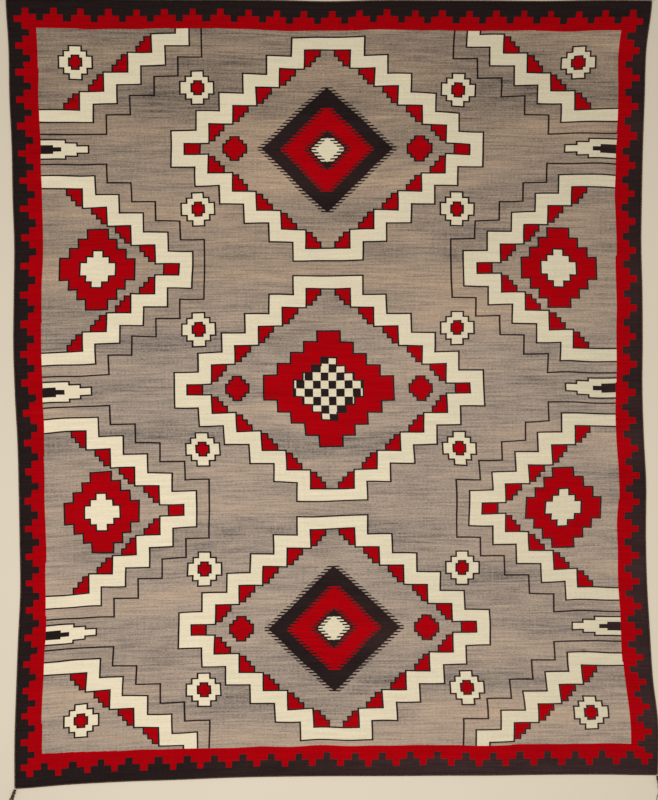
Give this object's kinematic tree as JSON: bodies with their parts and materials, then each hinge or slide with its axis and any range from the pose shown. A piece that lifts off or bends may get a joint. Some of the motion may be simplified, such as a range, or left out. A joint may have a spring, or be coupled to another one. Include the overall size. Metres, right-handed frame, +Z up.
{
  "type": "rug",
  "caption": "Large flat hand-woven tapestry-weave wool rug with bound edges and a twisted tassel at each corner.",
  "frame": {"origin": "middle of the whole rug's box, tassels included, on the floor that it lies on", "axes": "+Z up out of the woven face, +Y along the warps towards the picture's top edge, +X along the wefts towards the picture's right"},
  "size_m": [1.9842, 2.4846, 0.0102],
  "materials": {
    "field_wool": "matte hand-woven wool",
    "edge_wool": "matte two-ply wool cord",
    "tassel_wool": "matte two-ply wool cord with loose yarn ends"
  },
  "bodies": {
    "root": {"woven_body": "field_wool", "end_cord_top": "edge_wool", "end_cord_bottom": "edge_wool", "side_cord_left": "edge_wool", "side_cord_right": "edge_wool", "corner_tassel_top_left": "tassel_wool", "corner_tassel_top_right": "tassel_wool", "corner_tassel_bottom_left": "tassel_wool", "corner_tassel_bottom_right": "tassel_wool"}
  },
  "joints": []
}
